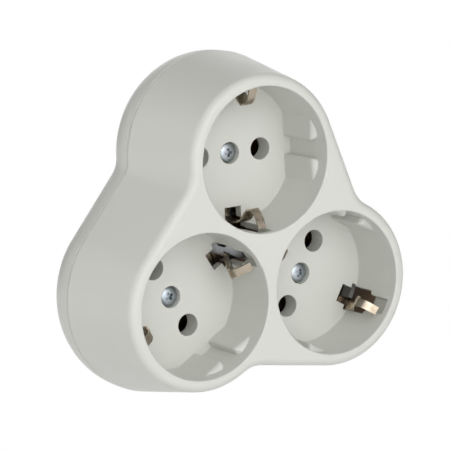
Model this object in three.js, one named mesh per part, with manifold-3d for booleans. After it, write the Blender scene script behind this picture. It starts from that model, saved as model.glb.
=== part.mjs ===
// Triple socket adapter: a trefoil housing with three earthed round-pin sockets on the front and
// one plug on the back. Millimetres. The model is drawn looking at its front: x to the right, y up,
// z towards the viewer, with z = 0 on the front face. The group named upright turns it.

import * as THREE from "three";
import { mergeVertices } from "three/addons/utils/BufferGeometryUtils.js";
import Module from "manifold-3d";

const wasm = await Module();
wasm.setup();

// Layout of the three sockets
const SOCKET_COUNT = 3;
const SOCKET_WEB = 2.75;
const CLEARANCE = 0.3;
const CUT_SPARE = 1;

// Outline of the housing at the seam: round lobes joined by straight flanks
const LOBE_MARGIN = 7.4;
const FLANK_DROP = 7.25;
const CORNER_FILLET = 5;
const LOBE_STEPS = 10;
const CORNER_STEPS = 3;

// Front housing
const SEAM_DEPTH = 25.6;
const WALL = 2;
const FRONT_PLATE = 2.4;
const DRAFT = THREE.MathUtils.degToRad(9.8);
const FRONT_ROUND = 2.4;
const ROUND_STEPS = 3;

// Socket recess
const RECESS_RADIUS = 19.1;
const RECESS_DEPTH = 17.5;
const RECESS_LIP = 0.4;
const CUP_WALL = 1.6;
const FLOOR = 2.5;
const RECESS_FACETS = 28;

// Pin holes, guide ribs, earth slots and notches of one recess
const PIN_SPACING = 19;
const PIN_HOLE_RADIUS = 2.95;
const SLEEVE_WALL = 1.4;
const SLEEVE_LENGTH = 3.8;
const HOLE_FACETS = 12;
const RIB_HEIGHT = 2;
const RIB_GAP = 4.8;
const RIB_TOP = 3.8;
const RIB_CORNER = 1.8;
const RIB_END = 10;
const SLOT_LENGTH = 3.8;
const SLOT_SIDE_ROOM = 0.8;
const STEP_LENGTH = 0.8;
const STEP_SIDE_ROOM = 2.1;
const NOTCH_DEPTH = 2;
const NOTCH_LOW_ROOM = 1.7;
const NOTCH_LOW_TOP = 10.3;
const NOTCH_TOP_ROOM = 0.5;
const NOTCH_TOP = 2.3;
const NOTCH_WALL = 1.4;

// Assembly screws
const HEAD_RADIUS = 2.6;
const HEAD_SINK = 0.6;
const HEAD_HEIGHT = 2.1;
const SHANK_RADIUS = 1.4;
const SCREW_LENGTH = 15;
const CROSS_WIDTH = 0.75;
const CROSS_LENGTH = 2.9;
const CROSS_DEPTH = 0.9;
const SCREW_DOME = [[0, 0], [0.6, 0.06], [0.88, 0.22], [1, 0.5]];
const SEAT_WALL = 1.7;
const SEAT_WEB = 1.5;
const SCREW_BOSS_WALL = 1.7;
const SCREW_BORE_SPARE = 1;
const SCREW_FACETS = 12;

// Earth clips, star plate and strap
const CLIP_THICKNESS = 0.5;
const CLIP_WIDTH = 3.4;
const CLIP_PAD_RIM = 1.9;
const TONGUE_WIDTH = 2.4;
const FOOT_GAP = 0.9;
const CREST_RISE = 5.2;
const CREST_DEPTH = 8;
const TIP_GAP = 0.5;
const TIP_DEPTH = 4.2;
const CLIP_TURNS = [-0.02, -0.105, -0.105];
const STAR_THICKNESS = 0.8;
const STAR_ARM = 6;
const STAR_RIM = 2.3;
const STRAP_THICKNESS = 1;
const STRAP_WIDTH = 5;
const EARTH_RIVET_RADIUS = 1.2;
const EARTH_RIVET_HEAD_RADIUS = 2.4;

// Knots of a spring arm: steps from its foot and from its crest, in reach and in depth
const ARM_RISE = 1;
const ARM_LEAN = [1.1, 4];
const CREST_ENTRY = [0.9, 1.5];
const CREST_EXIT = [0.7, 1.6];
const TIP_SAG = 0.9;
const ARM_STEPS = 8;

// Rear cover
const COVER_LAND = 1.9;
const COVER_INSET = 0.1;
const COVER_ROUND = 13.8;
const COVER_STEPS = 4;
const COVER_RISE = 11.7;
const BACK_PLATE = 2;
const RIM_HEIGHT = 1.8;
const RIM_WALL = 1.2;

// Plug on the rear cover
const PUCK_RADIUS = 18.5;
const PUCK_HEIGHT = 17.5;
const PUCK_WALL = 2.2;
const PUCK_FLAT_CUT = 1.7;
const PUCK_RIB = 4;
const PUCK_FACETS = 28;
const PLUG_PIN_RADIUS = 2.4;
const PLUG_PIN_LENGTH = 19;
const PLUG_PIN_TIP = 1.2;
const PLUG_TIP_ROUND = [[1, 1], [0.85, 0.45], [0.5, 0]];
const PIN_BOSS_WALL = 1.7;
const STRAP_INSET = 0.3;
const STRAP_END_GAP = 2.5;

// Live parts
const BAR_ROOM = 3.1;
const BAR_THICKNESS = 0.8;
const BAR_WIDTH = 5;
const EYE_RIM = 2.05;
const LOOP_INSET = 8.5;
const LOOP_START = THREE.MathUtils.degToRad(20);
const LOOP_END = THREE.MathUtils.degToRad(-100);
const NECK_STEP = 0.8;
const PIN_HEAD_RIM = 0.3;
const PIN_HEAD_HEIGHT = 1;
const PIN_HEAD_TOP = 0.8;
const PIN_EYE_RIM = 1;
const CONTACT_THICKNESS = 0.6;
const CONTACT_WIDTH = 6.4;
const CONTACT_SPREAD = 0.95;
const CONTACT_PINCH = 0.15;
const CONTACT_FLARE = 0.35;
const CONTACT_LEAD = 2.4;
const RIVET_RADIUS = 1;
const RIVET_HEAD_RADIUS = 1.7;
const RIVET_HEAD = 0.7;
const RIVET_HEAD_TOP = 0.7;
const RIVET_ROOM = 3.45;
const RIVET_FACETS = 8;
const SUPPORT_RIB = 1.6;

// Worked out from the sizes above
const THIRD_TURN = (2 * Math.PI) / SOCKET_COUNT;
const SOCKET_OFFSET = (RECESS_RADIUS + SOCKET_WEB / 2) / Math.sin(THIRD_TURN / 2);
const LOBE_RADIUS = RECESS_RADIUS + LOBE_MARGIN;
const RIB_FACE = RECESS_RADIUS - RIB_HEIGHT;
const FLOOR_BACK = RECESS_DEPTH + FLOOR;
const ARM_FOOT = RECESS_RADIUS - FOOT_GAP;
const CREST_REACH = RECESS_RADIUS - CREST_RISE;
const TIP_REACH = RECESS_RADIUS - TIP_GAP;
const COVER_FRONT = SEAM_DEPTH + CLEARANCE;
const BACK_DEPTH = COVER_FRONT + COVER_LAND + COVER_RISE;
const COVER_INSIDE = BACK_DEPTH - BACK_PLATE;
const HEAD_TOP = RECESS_DEPTH + HEAD_SINK;
const SCREW_BORE_END = HEAD_TOP + HEAD_HEIGHT + SCREW_LENGTH + SCREW_BORE_SPARE;
const SEAT_DEPTH = HEAD_TOP + HEAD_HEIGHT + CLEARANCE;
const SEAT_BACK = SEAT_DEPTH + SEAT_WEB;
const CLIP_DEPTH = SEAT_BACK + CLEARANCE;
const STAR_DEPTH = CLIP_DEPTH + CLIP_THICKNESS + CLEARANCE;
const STRAP_DEPTH = STAR_DEPTH + STAR_THICKNESS + CLEARANCE;
const BOSS_FRONT = STRAP_DEPTH;
const PUCK_FACE = BACK_DEPTH + PUCK_HEIGHT;
const STRAP_REACH = PUCK_RADIUS - STRAP_INSET;
const BAR_BACK = COVER_INSIDE - BAR_ROOM;
const BAR_DEPTH = BAR_BACK - BAR_THICKNESS;
const BAR_LOOP_RADIUS = LOBE_RADIUS - LOOP_INSET;
const NECK_RADIUS = PLUG_PIN_RADIUS - NECK_STEP;
const PIN_HEAD_RADIUS = PLUG_PIN_RADIUS + PIN_HEAD_RIM;
const CONTACT_BASE = BAR_DEPTH - CLEARANCE - CONTACT_THICKNESS;
const CONTACT_FRONT = FLOOR_BACK + SLEEVE_LENGTH + CLEARANCE;
const SHANK_HOLE_RADIUS = SHANK_RADIUS + CLEARANCE;
const RIVET_HOLE_RADIUS = RIVET_RADIUS + CLEARANCE;
const RIVET_REACH = PIN_HOLE_RADIUS + RIVET_ROOM;

// Materials
const housingPlastic = new THREE.MeshStandardMaterial({ color: 0xd4d5cf, roughness: 0.42 });
const nickel = new THREE.MeshStandardMaterial({ color: 0xb9b2a2, roughness: 0.25, metalness: 1 });
const zinc = new THREE.MeshStandardMaterial({ color: 0xc3ccd0, roughness: 0.3, metalness: 1 });
const brass = new THREE.MeshStandardMaterial({ color: 0xc8a24e, roughness: 0.35, metalness: 1 });
const steel = new THREE.MeshStandardMaterial({ color: 0xa9adb0, roughness: 0.4, metalness: 1 });

// Solids for joining and cutting

function signedVolume(position, index) {
  const a = new THREE.Vector3();
  const b = new THREE.Vector3();
  const c = new THREE.Vector3();
  let volume = 0;
  for (let i = 0; i < index.length; i += 3) {
    a.fromBufferAttribute(position, index[i]);
    b.fromBufferAttribute(position, index[i + 1]);
    c.fromBufferAttribute(position, index[i + 2]);
    volume += a.dot(b.cross(c)) / 6;
  }
  return volume;
}

function solid(geometry) {
  const bare = geometry.clone();
  bare.deleteAttribute("normal");
  bare.deleteAttribute("uv");
  const merged = mergeVertices(bare, 1e-4);
  const position = merged.getAttribute("position");
  const index = merged.getIndex().array;
  const triangles = [];
  for (let i = 0; i < index.length; i += 3) {
    const [a, b, c] = [index[i], index[i + 1], index[i + 2]];
    if (a !== b && b !== c && c !== a) {
      triangles.push(a, b, c);
    }
  }
  if (signedVolume(position, triangles) < 0) {
    triangles.reverse();
  }
  const mesh = new wasm.Mesh({
    numProp: 3,
    vertProperties: new Float32Array(position.array),
    triVerts: new Uint32Array(triangles),
  });
  return new wasm.Manifold(mesh);
}

function geometryOf(body) {
  const mesh = body.getMesh();
  const geometry = new THREE.BufferGeometry();
  geometry.setAttribute("position", new THREE.BufferAttribute(mesh.vertProperties, 3));
  geometry.setIndex(new THREE.BufferAttribute(mesh.triVerts, 1));
  geometry.computeVertexNormals();
  return geometry;
}

function join(geometries) {
  return geometries.map(solid).reduce((sum, next) => sum.add(next));
}

// Basic forms: depths are measured back from the front face, so a depth d lies at z = -d

function plate(shape, front, back, segments = 4) {
  const settings = { depth: back - front, bevelEnabled: false, curveSegments: segments };
  return new THREE.ExtrudeGeometry(shape, settings).translate(0, 0, -back);
}

function disc(x, y, radius) {
  const shape = new THREE.Shape();
  shape.absarc(x, y, radius, 0, 2 * Math.PI, false);
  return shape;
}

function rod(x, y, radius, front, back, facets) {
  const geometry = new THREE.CylinderGeometry(radius, radius, back - front, facets);
  return geometry.rotateX(Math.PI / 2).translate(x, y, -(front + back) / 2);
}

function block(x0, x1, y0, y1, front, back) {
  const geometry = new THREE.BoxGeometry(x1 - x0, y1 - y0, back - front);
  return geometry.translate((x0 + x1) / 2, (y0 + y1) / 2, -(front + back) / 2);
}

function turned(profile, facets) {
  const points = profile.map(([radius, depth]) => new THREE.Vector2(radius, -depth));
  return new THREE.LatheGeometry(points, facets).rotateX(Math.PI / 2);
}

// A form drawn in the plane of x and z, pulled out along y
function lengthways(shape, y0, y1, segments = 3) {
  const settings = { depth: y1 - y0, bevelEnabled: false, curveSegments: segments };
  return new THREE.ExtrudeGeometry(shape, settings).rotateX(Math.PI / 2).translate(0, y1, 0);
}

function strip(start, end, width) {
  const across = new THREE.Vector2(end.y - start.y, start.x - end.x).setLength(width / 2);
  const shape = new THREE.Shape();
  shape.moveTo(start.x + across.x, start.y + across.y);
  shape.lineTo(end.x + across.x, end.y + across.y);
  shape.lineTo(end.x - across.x, end.y - across.y);
  shape.lineTo(start.x - across.x, start.y - across.y);
  return shape;
}

// A profile drawn in the plane of y and z, pulled out along x
function sideways(shape, x0, x1, segments = 3) {
  const settings = { depth: x1 - x0, bevelEnabled: false, curveSegments: segments };
  const turn = new THREE.Matrix4().makeBasis(
    new THREE.Vector3(0, 1, 0),
    new THREE.Vector3(0, 0, 1),
    new THREE.Vector3(1, 0, 0),
  );
  return new THREE.ExtrudeGeometry(shape, settings).applyMatrix4(turn).translate(x0, 0, 0);
}

// Outline of a sheet of even thickness that follows a path
function sheetShape(path, thickness) {
  const left = [];
  const right = [];
  path.forEach((point, i) => {
    const before = path[Math.max(i - 1, 0)];
    const after = path[Math.min(i + 1, path.length - 1)];
    const along = new THREE.Vector2().subVectors(after, before).normalize();
    const across = new THREE.Vector2(-along.y, along.x).multiplyScalar(thickness / 2);
    left.push(point.clone().add(across));
    right.push(point.clone().sub(across));
  });
  return new THREE.Shape([...left, ...right.reverse()]);
}

function onSocket(geometry, index) {
  return geometry.clone().translate(0, SOCKET_OFFSET, 0).rotateZ(index * THIRD_TURN);
}

function onEverySocket(geometries) {
  const copies = [];
  for (let index = 0; index < SOCKET_COUNT; index += 1) {
    copies.push(...geometries.map((geometry) => onSocket(geometry, index)));
  }
  return copies;
}

// Housing outline: one lobe arc, one hollow corner and one straight flank, three times round

function arcPoints(centre, radius, from, to, steps) {
  const points = [];
  for (let i = 0; i <= steps; i += 1) {
    const angle = from + ((to - from) * i) / steps;
    points.push(new THREE.Vector2(
      centre.x + radius * Math.cos(angle),
      centre.y + radius * Math.sin(angle),
    ));
  }
  return points;
}

function outline(inset) {
  const lobe = new THREE.Vector2(0, SOCKET_OFFSET);
  const pitch = 2 * SOCKET_OFFSET * Math.sin(THIRD_TURN / 2);
  const tilt = Math.asin(FLANK_DROP / pitch);
  const reach = LOBE_RADIUS + CORNER_FILLET;
  const rise = reach - FLANK_DROP;
  const swing = Math.acos(rise / reach);
  const startAngle = Math.PI / 2 - THIRD_TURN / 2 - tilt;
  const normalAngle = Math.PI / 2 + THIRD_TURN / 2 - tilt;
  const endAngle = normalAngle + swing;
  const corner = new THREE.Vector2(Math.cos(endAngle), Math.sin(endAngle));
  corner.multiplyScalar(reach).add(lobe);
  const cornerRadius = CORNER_FILLET + inset;
  const third = [
    ...arcPoints(lobe, LOBE_RADIUS - inset, startAngle, endAngle, LOBE_STEPS),
    ...arcPoints(corner, cornerRadius, endAngle + Math.PI, normalAngle + Math.PI, CORNER_STEPS).slice(1),
  ];
  const points = [];
  for (let index = 0; index < SOCKET_COUNT; index += 1) {
    const centre = new THREE.Vector2();
    points.push(...third.map((point) => point.clone().rotateAround(centre, index * THIRD_TURN)));
  }
  return points;
}

// A closed form through outline rings, each given as [inset, depth]
function loft(levels) {
  const rings = levels.map(([inset]) => outline(inset));
  const count = rings[0].length;
  const positions = [];
  rings.forEach((ring, level) => {
    ring.forEach((point) => positions.push(point.x, point.y, -levels[level][1]));
  });
  const triangles = [];
  for (let level = 0; level + 1 < rings.length; level += 1) {
    for (let i = 0; i < count; i += 1) {
      const here = level * count + i;
      const next = level * count + ((i + 1) % count);
      triangles.push(here, here + count, next + count, here, next + count, next);
    }
  }
  const last = (rings.length - 1) * count;
  for (const [a, b, c] of THREE.ShapeUtils.triangulateShape(rings[0], [])) {
    triangles.push(a, b, c);
  }
  for (const [a, b, c] of THREE.ShapeUtils.triangulateShape(rings.at(-1), [])) {
    triangles.push(last + a, last + c, last + b);
  }
  const geometry = new THREE.BufferGeometry();
  geometry.setAttribute("position", new THREE.Float32BufferAttribute(positions, 3));
  geometry.setIndex(triangles);
  return geometry;
}

// Front housing

function wallInset(depth) {
  return (SEAM_DEPTH - depth) * Math.tan(DRAFT);
}

function housingForm() {
  const centreInset = wallInset(FRONT_ROUND) + FRONT_ROUND / Math.cos(DRAFT);
  const levels = [[0, SEAM_DEPTH]];
  for (let i = 0; i <= ROUND_STEPS; i += 1) {
    const angle = DRAFT + ((Math.PI / 2 - DRAFT) * i) / ROUND_STEPS;
    levels.push([
      centreInset - FRONT_ROUND * Math.cos(angle),
      FRONT_ROUND - FRONT_ROUND * Math.sin(angle),
    ]);
  }
  return solid(loft(levels));
}

function housingCavity() {
  const below = SEAM_DEPTH + CUT_SPARE;
  return solid(loft([
    [wallInset(below) + WALL, below],
    [wallInset(FRONT_PLATE) + WALL, FRONT_PLATE],
  ]));
}

function recessCutter() {
  const lip = RECESS_RADIUS + RECESS_LIP;
  const bend = RECESS_LIP * (1 - Math.SQRT1_2);
  return turned([
    [0, -RECESS_LIP],
    [lip, -RECESS_LIP],
    [lip, 0],
    [RECESS_RADIUS + bend, bend],
    [RECESS_RADIUS, RECESS_LIP],
    [RECESS_RADIUS, RECESS_DEPTH],
    [0, RECESS_DEPTH],
  ], RECESS_FACETS);
}

// One guide rib beside the recess wall; its top is rounded towards the hollow and the gap
function ribProfile(rounded, square) {
  const back = -RECESS_DEPTH - RECESS_LIP;
  const centre = new THREE.Vector2(rounded + RIB_CORNER, -RIB_TOP - RIB_CORNER);
  const shape = new THREE.Shape();
  shape.moveTo(rounded, back);
  shape.lineTo(square, back);
  shape.lineTo(square, -RIB_TOP);
  shape.lineTo(centre.x, -RIB_TOP);
  shape.absarc(centre.x, centre.y, RIB_CORNER, Math.PI / 2, Math.PI, false);
  return shape;
}

function guideRib(side, end) {
  const outside = RECESS_RADIUS + CUP_WALL / 2;
  const bar = lengthways(ribProfile(RIB_FACE, outside), -RECESS_RADIUS, RECESS_RADIUS);
  const length = sideways(ribProfile(RIB_GAP / 2, RIB_END), 0, outside);
  const inWall = rod(0, 0, outside, 0, RECESS_DEPTH + RECESS_LIP, RECESS_FACETS);
  const rib = solid(bar).intersect(solid(length)).intersect(solid(inWall));
  return geometryOf(rib).scale(side, end, 1);
}

// The way out of the floor for one spring arm, and the notch in the recess wall behind it. The low
// part of the notch is a window right through the wall; its shoulders slope in to the narrow part.
function slotCutters() {
  const notchReach = RECESS_RADIUS + NOTCH_DEPTH;
  const through = FLOOR_BACK + CUT_SPARE;
  const above = RECESS_DEPTH - CLEARANCE;
  const narrow = CLIP_WIDTH / 2 + SLOT_SIDE_ROOM;
  const wide = CLIP_WIDTH / 2 + STEP_SIDE_ROOM;
  const low = CLIP_WIDTH / 2 + NOTCH_LOW_ROOM;
  const high = CLIP_WIDTH / 2 + NOTCH_TOP_ROOM;
  const step = ARM_FOOT - STEP_LENGTH;
  const shoulder = NOTCH_LOW_TOP - (low - high);
  const windowShape = new THREE.Shape([
    new THREE.Vector2(-low, -RECESS_DEPTH),
    new THREE.Vector2(low, -RECESS_DEPTH),
    new THREE.Vector2(low, -NOTCH_LOW_TOP),
    new THREE.Vector2(high, -shoulder),
    new THREE.Vector2(-high, -shoulder),
    new THREE.Vector2(-low, -NOTCH_LOW_TOP),
  ]);
  return [
    block(-narrow, narrow, ARM_FOOT - SLOT_LENGTH, step + CLEARANCE, above, through),
    block(-wide, wide, step, notchReach, RECESS_DEPTH, through),
    lengthways(windowShape, step, notchReach),
    block(-high, high, step, notchReach, NOTCH_TOP, NOTCH_LOW_TOP),
  ];
}

function frontHousing() {
  const pinX = PIN_SPACING / 2;
  const sleeveRadius = PIN_HOLE_RADIUS + SLEEVE_WALL;
  const sleeveBack = FLOOR_BACK + SLEEVE_LENGTH;
  const notchHalf = CLIP_WIDTH / 2 + NOTCH_TOP_ROOM + NOTCH_WALL;
  const notchBack = RECESS_RADIUS + NOTCH_DEPTH + NOTCH_WALL;
  const above = RECESS_DEPTH - CUT_SPARE;
  const form = housingForm();
  const fillings = join(onEverySocket([
    rod(0, 0, RECESS_RADIUS + CUP_WALL, 0, FLOOR_BACK, RECESS_FACETS),
    rod(-pinX, 0, sleeveRadius, RECESS_DEPTH, sleeveBack, HOLE_FACETS),
    rod(pinX, 0, sleeveRadius, RECESS_DEPTH, sleeveBack, HOLE_FACETS),
    rod(0, 0, HEAD_RADIUS + CLEARANCE + SEAT_WALL, RECESS_DEPTH, SEAT_BACK, HOLE_FACETS),
    block(-notchHalf, notchHalf, -notchBack, notchBack, 0, NOTCH_LOW_TOP),
  ]));
  const cutters = join(onEverySocket([
    recessCutter(),
    rod(-pinX, 0, PIN_HOLE_RADIUS, above, sleeveBack + CUT_SPARE, HOLE_FACETS),
    rod(pinX, 0, PIN_HOLE_RADIUS, above, sleeveBack + CUT_SPARE, HOLE_FACETS),
    rod(0, 0, HEAD_RADIUS + CLEARANCE, above, SEAT_DEPTH, HOLE_FACETS),
    rod(0, 0, SHANK_HOLE_RADIUS, above, SEAT_BACK + CUT_SPARE, RIVET_FACETS),
    ...slotCutters(),
    ...slotCutters().map((cutter) => cutter.rotateZ(Math.PI)),
  ]));
  const ribs = [[1, 1], [1, -1], [-1, 1], [-1, -1]].map(([side, end]) => guideRib(side, end));
  const shell = form.subtract(housingCavity()).add(fillings.intersect(form));
  return shell.subtract(cutters).add(join(onEverySocket(ribs)));
}

// Rear cover with the plug body

function coverLevels(skin, front, back) {
  const centreInset = COVER_INSET + COVER_ROUND;
  const centreDepth = COVER_FRONT + COVER_LAND;
  const radius = COVER_ROUND - skin;
  const sweep = Math.asin((back - centreDepth) / radius);
  const levels = [[centreInset - radius, front]];
  for (let i = 0; i <= COVER_STEPS; i += 1) {
    const angle = (sweep * i) / COVER_STEPS;
    levels.push([centreInset - radius * Math.cos(angle), centreDepth + radius * Math.sin(angle)]);
  }
  return levels.reverse();
}

function ringBetween(outerInset, innerInset, front, back) {
  const outer = solid(loft([[outerInset, back], [outerInset, front]]));
  const inner = solid(loft([[innerInset, back + CUT_SPARE], [innerInset, front - CUT_SPARE]]));
  return outer.subtract(inner);
}

function plugBody() {
  const full = solid(rod(0, 0, PUCK_RADIUS, COVER_INSIDE, PUCK_FACE, PUCK_FACETS));
  const flat = PUCK_RADIUS - PUCK_FLAT_CUT;
  const flats = join([
    block(-flat, flat, -PUCK_RADIUS, PUCK_RADIUS, COVER_INSIDE, PUCK_FACE),
    block(-PUCK_RADIUS, PUCK_RADIUS, -PUCK_RIB / 2, PUCK_RIB / 2, COVER_INSIDE, PUCK_FACE),
  ]);
  return full.intersect(flats);
}

function strapCutters() {
  const half = STRAP_WIDTH / 2 + CLEARANCE;
  const floor = STRAP_REACH - STRAP_THICKNESS - CLEARANCE;
  const end = PUCK_FACE - STRAP_END_GAP + CLEARANCE;
  const inside = COVER_INSIDE - CUT_SPARE;
  return [1, -1].flatMap((side) => [
    block(-half, half, floor, STRAP_REACH + CLEARANCE, inside, end).scale(1, side, 1),
    block(-half, half, floor, PUCK_RADIUS + CUT_SPARE, BACK_DEPTH, end).scale(1, side, 1),
  ]);
}

function rearCover(terminals) {
  const rimInset = WALL + wallInset(COVER_FRONT - CLEARANCE - RIM_HEIGHT) + CLEARANCE;
  const hollowRadius = STRAP_REACH - STRAP_THICKNESS - CLEARANCE - PUCK_WALL;
  const pinX = PIN_SPACING / 2;
  const pinBore = PLUG_PIN_RADIUS + CLEARANCE;
  const bossFoot = COVER_INSIDE + BACK_PLATE / 2;
  const pinBossFront = BAR_BACK + CLEARANCE;
  const pinBossBack = PUCK_FACE - PUCK_WALL / 2;
  const boreFront = pinBossFront - CUT_SPARE;
  const boreBack = PUCK_FACE + CUT_SPARE;
  const screwBoss = SCREW_BOSS_WALL + SHANK_HOLE_RADIUS;
  const rimInside = rimInset + RIM_WALL;
  const rimFront = COVER_FRONT - RIM_HEIGHT;
  const rimBack = COVER_FRONT + WALL;
  const hollowBack = PUCK_FACE - PUCK_WALL;
  const form = solid(loft(coverLevels(0, COVER_FRONT, BACK_DEPTH)));
  const cavity = solid(loft(coverLevels(WALL, COVER_FRONT - CUT_SPARE, COVER_INSIDE)));
  const shell = form.subtract(cavity);
  const rim = ringBetween(rimInset, rimInside, rimFront, rimBack);
  const root = ringBetween(COVER_INSET + WALL / 2, rimInside, COVER_FRONT, rimBack);
  const hollow = solid(
    rod(0, 0, hollowRadius, COVER_INSIDE - CUT_SPARE, hollowBack, PUCK_FACETS),
  );
  const bosses = join([
    rod(-pinX, 0, pinBore + PIN_BOSS_WALL, pinBossFront, pinBossBack, HOLE_FACETS),
    rod(pinX, 0, pinBore + PIN_BOSS_WALL, pinBossFront, pinBossBack, HOLE_FACETS),
    ...onEverySocket([rod(0, 0, screwBoss, BOSS_FRONT, bossFoot, HOLE_FACETS)]),
    ...terminals.map((terminal) => onTerminal(supportRib(), terminal)),
  ]);
  const screwBore = rod(
    0, 0, SHANK_HOLE_RADIUS, BOSS_FRONT - CUT_SPARE, SCREW_BORE_END, RIVET_FACETS,
  );
  const bores = join([
    rod(-pinX, 0, pinBore, boreFront, boreBack, HOLE_FACETS),
    rod(pinX, 0, pinBore, boreFront, boreBack, HOLE_FACETS),
    ...onEverySocket([screwBore]),
    ...strapCutters(),
  ]);
  return shell.add(rim).add(root).add(plugBody()).subtract(hollow).add(bosses).subtract(bores);
}

// Metal parts

function screwGeometry() {
  const under = HEAD_TOP + HEAD_HEIGHT;
  const dome = SCREW_DOME.map(([across, down]) => [
    HEAD_RADIUS * across,
    HEAD_TOP + HEAD_HEIGHT * down,
  ]);
  const body = turned([
    ...dome,
    [HEAD_RADIUS, under],
    [SHANK_RADIUS, under],
    [SHANK_RADIUS, under + SCREW_LENGTH - SHANK_RADIUS],
    [0, under + SCREW_LENGTH],
  ], SCREW_FACETS);
  const half = CROSS_LENGTH / 2;
  const side = CROSS_WIDTH / 2;
  const above = HEAD_TOP - CUT_SPARE;
  const cross = join([
    block(-half, half, -side, side, above, HEAD_TOP + CROSS_DEPTH),
    block(-side, side, -half, half, above, HEAD_TOP + CROSS_DEPTH),
  ]);
  return geometryOf(solid(body).subtract(cross));
}

// One arm of the earth clip: up through the slot, in to the crest and back out to the notch
function armPath() {
  const base = CLIP_DEPTH + CLIP_THICKNESS / 2;
  const curve = new THREE.SplineCurve([
    new THREE.Vector2(ARM_FOOT, -base + CLIP_THICKNESS),
    new THREE.Vector2(ARM_FOOT, -RECESS_DEPTH + ARM_RISE),
    new THREE.Vector2(ARM_FOOT - ARM_LEAN[0], -CREST_DEPTH - ARM_LEAN[1]),
    new THREE.Vector2(CREST_REACH + CREST_ENTRY[0], -CREST_DEPTH - CREST_ENTRY[1]),
    new THREE.Vector2(CREST_REACH, -CREST_DEPTH),
    new THREE.Vector2(CREST_REACH + CREST_EXIT[0], -CREST_DEPTH + CREST_EXIT[1]),
    new THREE.Vector2((CREST_REACH + TIP_REACH) / 2, -TIP_DEPTH - TIP_SAG),
    new THREE.Vector2(TIP_REACH, -TIP_DEPTH),
  ]);
  const corner = new THREE.Vector2(ARM_FOOT - CLIP_THICKNESS, -base);
  return [corner, ...curve.getPoints(ARM_STEPS)];
}

function clipGeometry() {
  const arm = armPath();
  const otherArm = arm.map((point) => new THREE.Vector2(-point.x, point.y)).reverse();
  const band = sheetShape([...otherArm, ...arm], CLIP_THICKNESS);
  const half = CLIP_WIDTH / 2;
  const back = CLIP_DEPTH + CLIP_THICKNESS;
  const pad = SHANK_HOLE_RADIUS + CLIP_PAD_RIM;
  const body = solid(sideways(band, -half, half)).add(
    solid(rod(0, 0, pad, CLIP_DEPTH, back, SCREW_FACETS)),
  );
  const shoulder = block(
    TONGUE_WIDTH - half, half + CUT_SPARE, CREST_RISE, RECESS_RADIUS + CUT_SPARE, 0, CREST_DEPTH,
  );
  const hole = rod(
    0, 0, SHANK_HOLE_RADIUS, CLIP_DEPTH - CUT_SPARE, back + CUT_SPARE, RIVET_FACETS,
  );
  const cutters = join([shoulder, shoulder.clone().rotateZ(Math.PI), hole]);
  return geometryOf(body.subtract(cutters));
}

function starPlateGeometry() {
  const back = STAR_DEPTH + STAR_THICKNESS;
  const centre = new THREE.Vector2(0, 0);
  const end = new THREE.Vector2(0, SOCKET_OFFSET);
  const arm = [strip(centre, end, STAR_ARM), disc(0, SOCKET_OFFSET, SHANK_HOLE_RADIUS + STAR_RIM)];
  const arms = arm.map((shape) => plate(shape, STAR_DEPTH, back).translate(0, -SOCKET_OFFSET, 0));
  const [before, behind] = [STAR_DEPTH - CUT_SPARE, back + CUT_SPARE];
  const screwHole = rod(0, 0, SHANK_HOLE_RADIUS, before, behind, RIVET_FACETS);
  const rivetHole = rod(0, 0, EARTH_RIVET_RADIUS + CLEARANCE, before, behind, RIVET_FACETS);
  const plates = join(onEverySocket(arms));
  return geometryOf(plates.subtract(join([...onEverySocket([screwHole]), rivetHole])));
}

function strapGeometry() {
  const front = -STRAP_DEPTH - STRAP_THICKNESS / 2;
  const side = STRAP_REACH - STRAP_THICKNESS / 2;
  const end = -PUCK_FACE + STRAP_END_GAP;
  const right = [
    new THREE.Vector2(side - STRAP_THICKNESS, front),
    new THREE.Vector2(side, front - STRAP_THICKNESS),
    new THREE.Vector2(side, end),
  ];
  const left = right.map((point) => new THREE.Vector2(-point.x, point.y)).reverse();
  const band = sheetShape([...left, ...right], STRAP_THICKNESS);
  const before = STRAP_DEPTH - CUT_SPARE;
  const behind = STRAP_DEPTH + STRAP_THICKNESS + CUT_SPARE;
  const hole = rod(0, 0, EARTH_RIVET_RADIUS + CLEARANCE, before, behind, RIVET_FACETS);
  const strap = sideways(band, -STRAP_WIDTH / 2, STRAP_WIDTH / 2);
  return geometryOf(solid(strap).subtract(solid(hole)));
}

function rivetGeometry(radius, headRadius, headHeight, front, back) {
  const top = headRadius * RIVET_HEAD_TOP;
  return geometryOf(solid(turned([
    [0, front - headHeight],
    [top, front - headHeight],
    [headRadius, front],
    [radius, front],
    [radius, back],
    [headRadius, back],
    [top, back + headHeight],
    [0, back + headHeight],
  ], RIVET_FACETS)));
}

function plugPinGeometry() {
  const shoulder = BAR_BACK + CLEARANCE;
  const head = BAR_DEPTH - CLEARANCE;
  const tip = PUCK_FACE + PLUG_PIN_LENGTH;
  const round = PLUG_TIP_ROUND.map(([across, down]) => [
    PLUG_PIN_RADIUS * across,
    tip - PLUG_PIN_TIP * down,
  ]);
  return geometryOf(solid(turned([
    [0, head - PIN_HEAD_HEIGHT],
    [PIN_HEAD_RADIUS * PIN_HEAD_TOP, head - PIN_HEAD_HEIGHT],
    [PIN_HEAD_RADIUS, head - PIN_HEAD_HEIGHT / 2],
    [PIN_HEAD_RADIUS, head],
    [NECK_RADIUS, head],
    [NECK_RADIUS, shoulder],
    [PLUG_PIN_RADIUS, shoulder],
    ...round,
    [0, tip],
  ], SCREW_FACETS)));
}

// Live and neutral parts. A terminal is the place of one pin contact and the way its rivet lies.

function pinPlace(socket, side) {
  const place = new THREE.Vector2((side * PIN_SPACING) / 2, SOCKET_OFFSET);
  return place.rotateAround(new THREE.Vector2(), socket * THIRD_TURN);
}

function terminal(socket, side, towards) {
  const place = pinPlace(socket, side);
  return { socket, place, angle: towards.clone().sub(place).angle() - Math.PI / 2 };
}

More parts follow.
